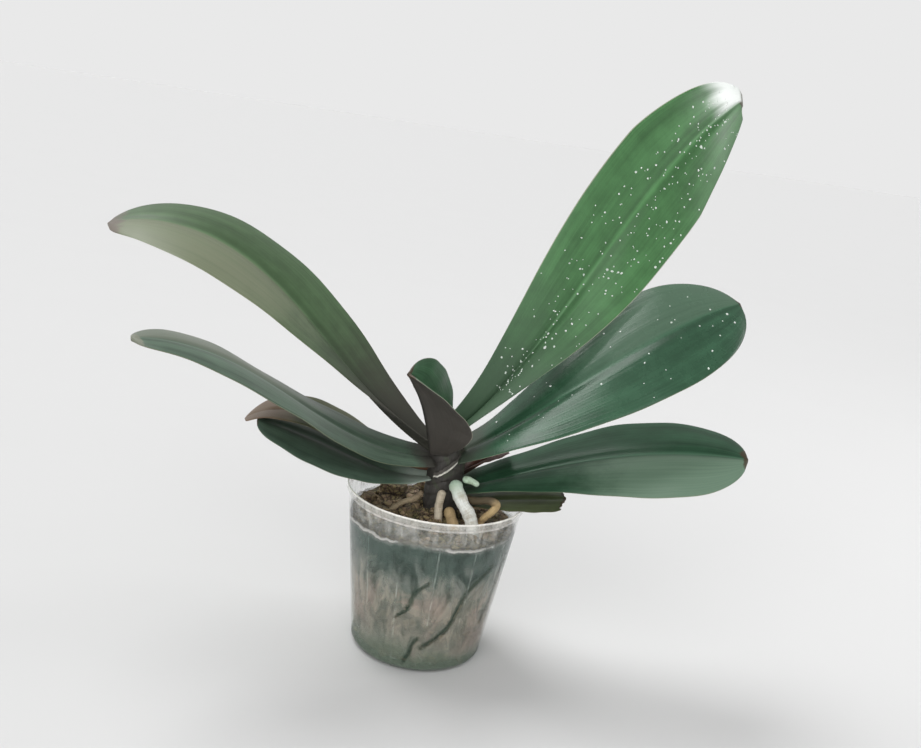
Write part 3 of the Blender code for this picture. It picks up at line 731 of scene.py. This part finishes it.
def build_pot(pot):
    """Thin clear pot with a rolled rim and faint upright ribs; the drainage holes are drilled afterwards."""
    low = pot.height - pot.rim_height
    edge = 0.35 * MM
    corner = wall_radius(pot, pot.corner) - pot.corner
    under_rim = pot.top_radius - pot.rim_out
    outline = [(0.0, 0.0)] + [(r, 0.0) for r in np.linspace(0.008, corner - 0.001, 10)]
    outline += rounded((corner, pot.corner), pot.corner, -90, 0, 8)
    outline += [(wall_radius(pot, z), z) for z in np.linspace(pot.corner + 0.004, low - pot.rim_out, 60)]
    outline += [(pot.top_radius - edge, low), (pot.top_radius, low + edge)]
    outline += rounded((pot.top_radius - edge, pot.height - edge), edge, 0, 90, 3)
    inner = pot.top_radius - pot.wall
    outline += rounded((inner + edge / 2, pot.height - edge), edge, 90, 180, 3)
    outline += [(under_rim - pot.wall, low - pot.rim_out)]
    outline += [(wall_radius(pot, z) - pot.wall, z)
                for z in np.linspace(low - pot.rim_out - 0.004, pot.corner + 0.004, 58)]
    outline += rounded((corner, pot.corner), pot.corner - pot.wall, 0, -90, 8)
    outline += [(r, pot.wall) for r in np.linspace(corner - 0.001, 0.008, 10)] + [(0.0, pot.wall)]
    bm = turned(outline, 192)
    for v in bm.verts:
        r = v.co.xy.length
        if 0.008 < v.co.z < low - 0.002:
            angle = math.atan2(v.co.y, v.co.x)
            ridge = max(0.0, math.cos(RIBS * angle + RIB_TURN)) ** 40
            v.co.xy *= 1 + ridge * 0.25 * MM / r
    return bm


ROOT_GAP = 0.3  # mm between a root and the wall it lies against
WALL_ROOTS = (  # compass angle and share of the bark's height at the top, the same at the foot, radius in mm
    ("wall_root_front", -38, 0.82, -84, 0.21, 2.3),
    ("wall_root_left", -86, 0.72, -107, 0.42, 1.8),
    ("wall_root_low", -88, 0.28, -97, 0.09, 1.8),
    ("wall_root_right", -20, 0.86, -33, 0.36, 2.2),
    ("wall_root_back", 60, 0.84, 112, 0.27, 2.3),
    ("wall_root_side", 178, 0.80, 152, 0.23, 2.1),
)


def wall_path(pot, start, top, end, low, thick):
    """Route of a root that lies against the inside of the wall, in mm; heights are parts of the bark's."""
    points = []
    for i in range(5):
        s = i / 4
        z = (top + (low - top) * s) * BARK_TOP
        a = math.radians(start + (end - start) * (s + 0.12 * math.sin(math.tau * s)))
        r = (wall_radius(pot, z * MM) - pot.wall) / MM - ROOT_GAP - thick
        points.append((r * math.cos(a), r * math.sin(a), z))
    return points


def mark_touch(mesh, pot):
    """Marks the wall where a root lies against it, because no mist settles there."""
    at = np.empty(len(mesh.vertices) * 3)
    mesh.vertices.foreach_get("co", at)
    at = at.reshape(-1, 3)
    reach = np.maximum(np.hypot(at[:, 0], at[:, 1]), 1e-6)
    touch = np.zeros(len(at))
    for _, start, top, end, low, thick in WALL_ROOTS:
        trail = path_through(wall_path(pot, start, top, end, low, thick), 70)[0] * MM
        beside = at.copy()
        beside[:, :2] *= ((wall_radius(pot, at[:, 2]) - pot.wall - (thick + ROOT_GAP) * MM) / reach)[:, None]
        gap = np.linalg.norm(beside[:, None, :] - trail[None], axis=2).min(axis=1) / (thick * MM)
        touch = np.maximum(touch, np.clip((1.05 - gap) / 0.55, 0.0, 1.0))
    mesh.attributes.new("touch", "FLOAT", "POINT").data.foreach_set("value", touch.astype(np.float32))


def drill_floor(ob, ring, radius, count):
    """Cuts a ring of drainage holes through the pot's floor."""
    bm = bmesh.new()
    for i in range(count):
        a = math.tau * (i + 0.5) / count
        at = Matrix.Translation((ring * math.cos(a), ring * math.sin(a), 0.0))
        bmesh.ops.create_cone(bm, cap_ends=True, segments=32, radius1=radius, radius2=radius, depth=6 * MM,
                              matrix=at)
    drills = placed(bm, "drills")
    cut = ob.modifiers.new("drain", "BOOLEAN")
    cut.solver = "EXACT"
    cut.object = drills
    graph = bpy.context.evaluated_depsgraph_get()
    drilled = bpy.data.meshes.new_from_object(ob.evaluated_get(graph))
    ob.modifiers.clear()
    ob.data = drilled
    bpy.data.objects.remove(drills, do_unlink=True)


def bed_height(bark, x, y):
    """Height of the uneven bark surface, mounded round the stem."""
    mound = bark.mound * math.exp(-((x - 0.004) ** 2 + y * y) / 0.026**2)
    lump = noise.noise(Vector((x, y, 0.0)) / 0.009) + 0.5 * noise.noise(Vector((x, y, 0.005)) / 0.0045)
    return bark.top + mound + 2.2 * MM * lump


def add_chip(bm, tone, at, turn, size, rng, shade):
    """One bark chip: a block with its corners knocked off unevenly."""
    made = bmesh.ops.create_cube(bm, size=1.0)["verts"]
    for v in made:
        v.co = Vector([c * rng.uniform(0.62, 1.0) * s for c, s in zip(v.co, size)])
    edges = list({e for v in made for e in v.link_edges})
    cut = bmesh.ops.bevel(bm, geom=edges, offset=min(size) * 0.16, segments=1, affect="EDGES", profile=0.5,
                          material=-1)
    for v in {v for f in cut["faces"] for v in f.verts}:
        v.co = turn @ v.co + at
        v[tone] = shade


def build_bark(bark, pot):
    """Loose bark: a dark core, chips on its surface and chips against the wall."""
    rng = np.random.default_rng(11)
    inner = lambda z: wall_radius(pot, z) - pot.wall
    rows = 24
    outline = [(0.0, bark.top)]
    outline += [(r, bark.top) for r in np.linspace(0.003, inner(bark.top) - 1.5 * MM, rows)]
    outline += [(inner(z) - 1.6 * MM, z) for z in np.linspace(bark.top - 0.006, 0.007, 14)]
    outline += [(0.036, 0.0025), (0.0, 0.0025)]
    bm = turned(outline, 96)
    tone = bm.verts.layers.float.new("tone")
    for v in bm.verts:
        if v.co.z > bark.top - 1e-5:
            v.co.z = bed_height(bark, v.co.x, v.co.y) - 1.0 * MM
        elif v.co.z > 0.006:
            v.co.xy *= 1 - 0.9 * MM / v.co.xy.length * (0.5 + 0.5 * noise.noise(v.co / 0.006))
        v[tone] = 0.12
    for _ in range(bark.wall_chips):
        size = Vector((rng.uniform(5, 15), rng.uniform(2.2, 3.6), rng.uniform(3, 9))) * MM
        z = rng.uniform(0.006, bark.top - 0.004)
        a = rng.uniform(0, math.tau)
        r = inner(z) - size.y * 0.5 - 1.1 * MM
        turn = Matrix.Rotation(a + math.pi / 2, 3, "Z") @ Matrix.Rotation(math.radians(-7), 3, "X")
        turn = turn @ Matrix.Rotation(rng.normal(0, 0.6), 3, "Y")
        band = math.exp(-((z - 0.045) / 0.016) ** 2)
        shade = float(np.clip(rng.normal(0.25 + 0.45 * band, 0.2), 0, 1))
        add_chip(bm, tone, Vector((r * math.cos(a), r * math.sin(a), z)), turn, size, rng, shade)
    for _ in range(bark.top_chips):
        size = Vector((rng.uniform(4, 13), rng.uniform(3, 8), rng.uniform(2, 4.5))) * MM
        a = rng.uniform(0, math.tau)
        r = (inner(bark.top) - 7 * MM) * math.sqrt(rng.uniform(0.03, 1))
        x, y = r * math.cos(a), r * math.sin(a)
        turn = Matrix.Rotation(rng.uniform(0, math.tau), 3, "Z")
        turn = turn @ Matrix.Rotation(rng.normal(0, 0.35), 3, "X")
        turn = turn @ Matrix.Rotation(rng.normal(0, 0.3), 3, "Y")
        at = Vector((x, y, bed_height(bark, x, y) - 0.6 * MM))
        add_chip(bm, tone, at, turn, size, rng, float(np.clip(rng.normal(0.52, 0.26), 0, 1)))
    bmesh.ops.recalc_face_normals(bm, faces=bm.faces[:])
    return bm


def build_surface_chip(node, seed):
    """A larger chip in the room of its CAD solid, split along its grain."""
    low, high = (Vector(c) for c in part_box(node))
    rng = np.random.default_rng(seed)
    bm = bmesh.new()
    bmesh.ops.create_cube(bm, size=1.0)
    bmesh.ops.bevel(bm, geom=bm.edges[:], offset=0.16, segments=2, affect="EDGES", profile=0.5, material=-1)
    bmesh.ops.subdivide_edges(bm, edges=bm.edges[:], cuts=2, use_grid_fill=True)
    tone = bm.verts.layers.float.new("tone")
    shade = float(rng.uniform(0.25, 0.8))
    turn = rng.uniform(-0.5, 0.5)
    for v in bm.verts:
        v[tone] = shade
        layer = 0.05 * math.sin(v.co.z * 22 + v.co.x * 3)
        rough = 0.10 * noise.noise(v.co * 2.2 + Vector((seed, 0, 0))) + 0.04 * noise.noise(v.co * 7)
        v.co *= 0.90 + layer + rough
        v.co = Matrix.Rotation(turn, 3, "Z") @ v.co
    reach = [max(abs(v.co[i]) for v in bm.verts) for i in range(3)]
    middle = (low + high) / 2
    half = (high - low) / 2
    for v in bm.verts:
        v.co = Vector([middle[i] + v.co[i] / reach[i] * half[i] for i in range(3)])
    bmesh.ops.recalc_face_normals(bm, faces=bm.faces[:])
    return bm


STEM_FOOT = 0.084
STEM_TOP = 0.152
STEM_AXIS = 0.004


def stem_radius(z):
    """Radius of the stem at a height: it swells from its foot and narrows to its top."""
    s = (z - STEM_FOOT) / (STEM_TOP - STEM_FOOT)
    swell = 0.013 * (0.82 + 0.18 * min(1.0, max(s, 0.0) / 0.35))
    return swell - 0.0065 * max(0.0, (s - 0.78) / 0.22) ** 1.4


def build_stem():
    """Short stem wrapped in torn old leaf bases that overlap from both sides."""
    rows = 90
    outline = [(0.0, STEM_FOOT)]
    outline += [(stem_radius(z) - 0.4 * MM, z) for z in np.linspace(STEM_FOOT, STEM_TOP, rows)]
    outline += [(0.0, STEM_TOP)]
    bm = turned(outline, 96)
    for v in bm.verts:
        r = v.co.xy.length
        if r < 1e-5:
            v.co.x += STEM_AXIS
            continue
        a = math.atan2(v.co.y, v.co.x)
        lap = (v.co.z * 1000 + 3.2 * math.sin(a * 2 + 0.8)) / 7.5
        step = (lap - math.floor(lap)) ** 3
        fibre = noise.noise(Vector((a * 9, v.co.z * 40, 0)))
        v.co.xy *= 1 - (0.7 * step + 0.35 * abs(fibre)) * MM / r
        v.co.y *= 0.8
        v.co.x += STEM_AXIS
    return bm


def build_sheath(dark):
    """Papery torn edge round the front of the stem, in the room of its CAD strip."""
    bm = bmesh.new()
    for v, u, s in grid(bm, 60, 10, "blade"):
        a = math.radians(-122 + 74 * u)
        tall = 6 * MM * (0.55 + 0.45 * math.sin(math.pi * u))
        torn = 0.22 * noise.noise(Vector((u * 14, 0, 3))) * s
        climb = 16 * MM * u**1.6 + 0.5 * MM * noise.noise(Vector((u * 9, 0, 0)))
        z = 0.1241 + climb + tall * min(1.0, s * (0.82 + torn))
        r = stem_radius(z) + 0.0013 + 0.0003 * s + 0.0002 * math.sin(u * 23)
        flat = 0.8 * stem_radius(z) + 0.0013 + 0.0003 * s
        v.co = (STEM_AXIS + r * math.cos(a), flat * math.sin(a), z)
    ob = piece(bm, "sheath_paper", sheath_finish("papery_sheath", (0.80, 0.78, 0.70), dark))
    wall = ob.modifiers.new("wall", "SOLIDIFY")
    wall.thickness = 0.25 * MM
    return ob


# ---------------------------------------------------------------- operators

class ORCHID_OT_leaves(bpy.types.Operator):
    """Build the leaves of both ranks, the young leaf, the torn leaf and the dry stub"""
    bl_idname = "orchid.leaves"
    bl_label = "Leaves"

    def execute(self, context):
        settings = context.scene.orchid_leaf
        finishes = leaf_finishes(settings)
        for node, blade in orchid_blades().items():
            ob = blade.build(node + "_blade", finishes[node], settings)
            stand_for(ob, node)
        return {"FINISHED"}


class ORCHID_OT_drops(bpy.types.Operator):
    """Scatter water drops on the wet upper leaves"""
    bl_idname = "orchid.drops"
    bl_label = "Water drops"

    def execute(self, context):
        settings = context.scene.orchid_leaf
        blades = orchid_blades()
        finish = drop_finish("water_drops")
        many = settings.drops
        for node, count, seed in (("leaf_right_top", many, 5), ("leaf_right_middle", many // 8, 6)):
            ob = piece(water_drops(blades[node], settings, count, seed), node + "_drops", finish)
        return {"FINISHED"}


class ORCHID_OT_stem(bpy.types.Operator):
    """Build the stem and the papery sheath round it"""
    bl_idname = "orchid.stem"
    bl_label = "Stem and sheath"

    def execute(self, context):
        leaf = context.scene.orchid_leaf
        stand_for(piece(build_stem(), "stem_bases", stem_finish("old_leaf_bases", leaf.sheath)), "stem")
        stand_for(build_sheath(leaf.sheath), "sheath")
        return {"FINISHED"}


class ORCHID_OT_roots(bpy.types.Operator):
    """Build the aerial roots and the roots pressed against the wall"""
    bl_idname = "orchid.roots"
    bl_label = "Roots"

    def execute(self, context):
        s = context.scene.orchid_root
        silver = root_finish("silver_root", s.silver, (0.45, 0.40, 0.30), green=0.9)
        amber = root_finish("tan_root", s.amber, (0.17, 0.10, 0.05), shaded=0.9)
        brown = root_finish("brown_root", tuple(c * 0.62 for c in s.tan), (0.08, 0.05, 0.03))
        grey = root_finish("grey_root", (0.50, 0.44, 0.34), (0.22, 0.16, 0.10))
        gold = root_finish("gold_root", (0.36, 0.26, 0.13), (0.10, 0.055, 0.025))
        mint = root_finish("mint_root", (0.46, 0.58, 0.45), (0.20, 0.28, 0.16), green=0.6)
        wet = root_finish("wet_root", s.wet, (0.006, 0.016, 0.008), wet=True)
        for name, points, radius, tip, finish in (
            ("root_left", ((-9, -9, 18), (-14, -9, 12), (-23, -8, 6.5), (-34, -10, -5)), 2.3, 0.8, brown),
            ("root_front", ((4, -14.5, 23), (3, -16, 12), (4, -20, 3), (5, -25, -9)), 3.0, 0.9, grey),
            ("root_stub", ((9, -16, 12), (12, -21, 7), (15, -28, 2), (16, -31, -8)), 3.8, 1.0, gold),
            ("root_silver", ((10, -15, 31), (17, -21, 20), (25, -25, 9), (29, -29, -8)), 4.6, 0.95, silver),
            ("root_right", ((16, -10.5, 17.5), (20, -13.8, 18.6), (27, -19, 20.5), (34, -23.5, 23.5),
                            (40, -25, 22.5), (37.5, -24.5, 16.5), (32, -20.5, 7.5), (29.5, -18, -7)),
             2.8, 0.9, amber),
            ("root_thin", ((20, 7, 18), (25, 10, 15), (29, 9, 8), (27, 6, -5)), 1.9, 0.8, brown),
            ("root_tip", ((16, -13.5, 32), (20, -15, 32.5), (24, -15.5, 31.5), (27, -15.5, 30)), 2.6, 0.8,
             mint),
        ):
            lifted = [(x, y, z + BARK_TOP) for x, y, z in points]
            stand_for(root(name + "_skin", lifted, radius, tip, finish), name)
        for name, start, top, end, low, thick in WALL_ROOTS:
            path = wall_path(context.scene.orchid_pot, start, top, end, low, thick)
            stand_for(root(name + "_skin", path, thick, 0.9, wet, knots=0.04), name)
        return {"FINISHED"}


class ORCHID_OT_bark(bpy.types.Operator):
    """Fill the pot with bark and lay the larger chips on top"""
    bl_idname = "orchid.bark"
    bl_label = "Bark"

    def execute(self, context):
        bark = context.scene.orchid_bark
        finish = bark_finish("orchid_bark", bark.dark, bark.pale)
        fill = build_bark(bark, context.scene.orchid_pot)
        stand_for(piece(fill, "bark_fill", finish, smooth=False), "bark_bed")
        for i in range(1, 9):
            node = f"bark_chip_{i}"
            stand_for(piece(build_surface_chip(node, i), node + "_split", finish), node)
        return {"FINISHED"}


class ORCHID_OT_pot(bpy.types.Operator):
    """Build the clear growing pot"""
    bl_idname = "orchid.pot"
    bl_label = "Pot"

    def execute(self, context):
        pot = context.scene.orchid_pot
        ob = piece(build_pot(pot), "clear_pot", pot_finish("misted_plastic", pot.plastic, pot.mist))
        drill_floor(ob, ring=31 * MM, radius=3.5 * MM, count=8)
        mark_touch(ob.data, pot)
        stand_for(ob, "pot")
        return {"FINISHED"}


class ORCHID_OT_stage(bpy.types.Operator):
    """Set up the pale floor, the soft lights and the camera"""
    bl_idname = "orchid.stage"
    bl_label = "Stage"

    def light_room(self, context, stage):
        """Pale room that darkens overhead, two broad suns and a small side lamp."""
        world = bpy.data.worlds.new("studio")
        world.use_nodes = True
        nodes = world.node_tree.nodes
        links = world.node_tree.links
        at = nodes.new("ShaderNodeTexCoord")
        part = nodes.new("ShaderNodeSeparateXYZ")
        fall = nodes.new("ShaderNodeMapRange")
        fall.interpolation_type = "SMOOTHSTEP"
        for name, value in (("From Min", 0.16), ("From Max", 0.50), ("To Min", 0.815), ("To Max", 0.42)):
            fall.inputs[name].default_value = value
        links.new(at.outputs["Generated"], part.inputs[0])
        links.new(part.outputs["Z"], fall.inputs["Value"])
        links.new(fall.outputs["Result"], nodes["Background"].inputs["Strength"])
        nodes["Background"].inputs["Color"].default_value = (1.0, 1.0, 1.0, 1.0)
        context.scene.world = world
        for name, power, spread, place in (
            ("daylight", stage.key, 38, (-0.446, 0.312, 0.839)),
            ("front_light", stage.key * 0.60, 60, (-0.15, -0.85, 0.50)),
        ):
            sun = bpy.data.lights.new(name, "SUN")
            sun.energy = power
            sun.angle = math.radians(spread)
            self.hang(context, sun, place, (0.0, 0.0, 0.0))
        lamp = bpy.data.lights.new("side_light", "AREA")
        lamp.size = 0.30
        lamp.energy = stage.fill
        self.hang(context, lamp, (1.25, 0.25, 0.84), (0.153, 0.095, 0.394))

    def hang(self, context, light, place, aim):
        """Puts a light at a place, turned towards its aim."""
        lamp = bpy.data.objects.new(light.name, light)
        lamp.location = place
        lamp.rotation_euler = (Vector(aim) - Vector(place)).to_track_quat("-Z", "Y").to_euler()
        context.scene.collection.objects.link(lamp)

    def execute(self, context):
        stage = context.scene.orchid_stage
        bm = bmesh.new()
        bmesh.ops.create_grid(bm, x_segments=1, y_segments=1, size=40.0)
        floor = placed(bm, "floor")
        finish = Finish("pale_floor", roughness=0.9, specular=0.1)
        pale = tuple(stage.floor)
        cloud = finish.noise(finish.place(), 6.0)
        finish.set("Base Color", finish.mix(pale, tuple(c * 0.985 for c in pale), cloud))
        floor.data.materials.append(finish.material)

        self.light_room(context, stage)
        camera = bpy.data.cameras.new("camera")
        camera.sensor_width = 36.0
        camera.lens = 39.09
        camera.clip_start = 0.01
        eye = bpy.data.objects.new("camera", camera)
        context.scene.collection.objects.link(eye)
        place = Vector((0.0, -0.6343, 0.3533))
        ahead = (Vector((0.0044, 0.0, 0.194)) - place).normalized()
        right = ahead.cross(Vector((0, 0, 1))).normalized()
        up = right.cross(ahead)
        lean = math.radians(8.5)
        x = math.cos(lean) * right + math.sin(lean) * up
        y = -math.sin(lean) * right + math.cos(lean) * up
        turn = Matrix((x, y, -ahead)).transposed().to_4x4()
        eye.matrix_world = Matrix.Translation(place) @ turn
        context.scene.camera = eye
        context.scene.view_settings.view_transform = "Standard"
        return {"FINISHED"}


class ORCHID_PT_panel(bpy.types.Panel):
    """Sizes, colours and steps of the potted orchid"""
    bl_idname = "ORCHID_PT_panel"
    bl_label = "Potted orchid"
    bl_space_type = "VIEW_3D"
    bl_region_type = "UI"
    bl_category = "Orchid"

    def draw(self, context):
        for group in GROUPS:
            box = self.layout.box()
            settings = getattr(context.scene, group)
            for key in settings.bl_rna.properties.keys():
                if key not in ("rna_type", "name"):
                    box.prop(settings, key)
        for step in STEPS:
            self.layout.operator(step.bl_idname)


GROUPS = {
    "orchid_leaf": OrchidLeafSettings,
    "orchid_pot": OrchidPotSettings,
    "orchid_bark": OrchidBarkSettings,
    "orchid_root": OrchidRootSettings,
    "orchid_stage": OrchidStageSettings,
}
STEPS = (
    ORCHID_OT_stage,
    ORCHID_OT_pot,
    ORCHID_OT_bark,
    ORCHID_OT_roots,
    ORCHID_OT_stem,
    ORCHID_OT_leaves,
    ORCHID_OT_drops,
)


def register():
    for name, group in GROUPS.items():
        bpy.utils.register_class(group)
        setattr(bpy.types.Scene, name, PointerProperty(type=group))
    for step in STEPS:
        bpy.utils.register_class(step)
    bpy.utils.register_class(ORCHID_PT_panel)


def unregister():
    bpy.utils.unregister_class(ORCHID_PT_panel)
    for step in reversed(STEPS):
        bpy.utils.unregister_class(step)
    for name, group in GROUPS.items():
        delattr(bpy.types.Scene, name)
        bpy.utils.unregister_class(group)


def main():
    register()
    for step in STEPS:
        family, action = step.bl_idname.split(".")
        getattr(getattr(bpy.ops, family), action)()


if __name__ == "__main__":
    main()
